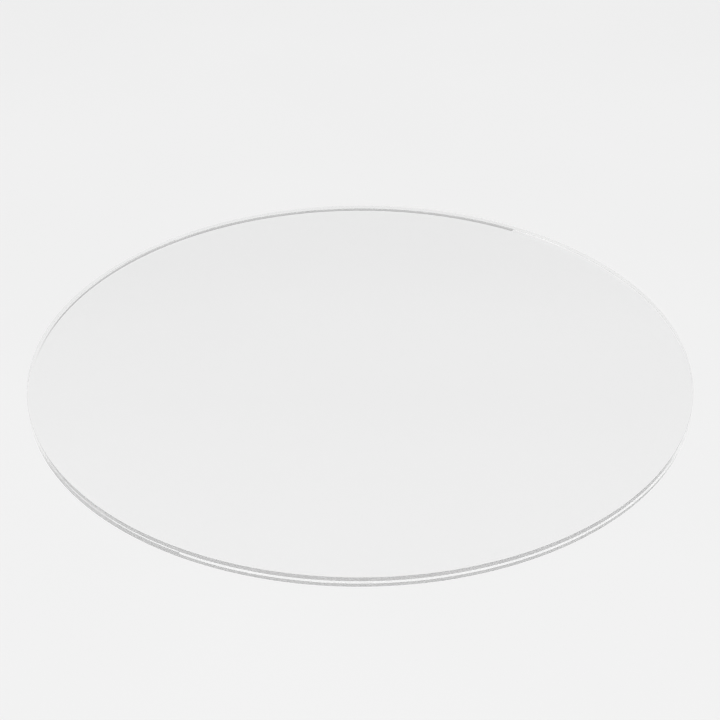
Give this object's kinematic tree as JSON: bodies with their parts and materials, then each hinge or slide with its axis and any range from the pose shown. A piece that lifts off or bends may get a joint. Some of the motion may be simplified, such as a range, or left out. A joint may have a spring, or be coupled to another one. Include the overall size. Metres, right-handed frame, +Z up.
{
  "type": "circle template",
  "caption": "Round clear plastic sheet disc with a square polished rim, laid flat on the work and traced around to draw a circle.",
  "frame": {"origin": "centre of the disc's lower face, on the surface it rests on", "axes": "+Z up along the disc's axis, through its thickness; X and Y lie in the lower face, and the disc is the same whichever way it is turned about Z"},
  "size_m": [0.2032, 0.2032, 0.0032],
  "materials": {
    "clear_acrylic": "clear, gloss faces and a polished rim"
  },
  "bodies": {
    "root": {"template_disc": "clear_acrylic"}
  },
  "joints": []
}
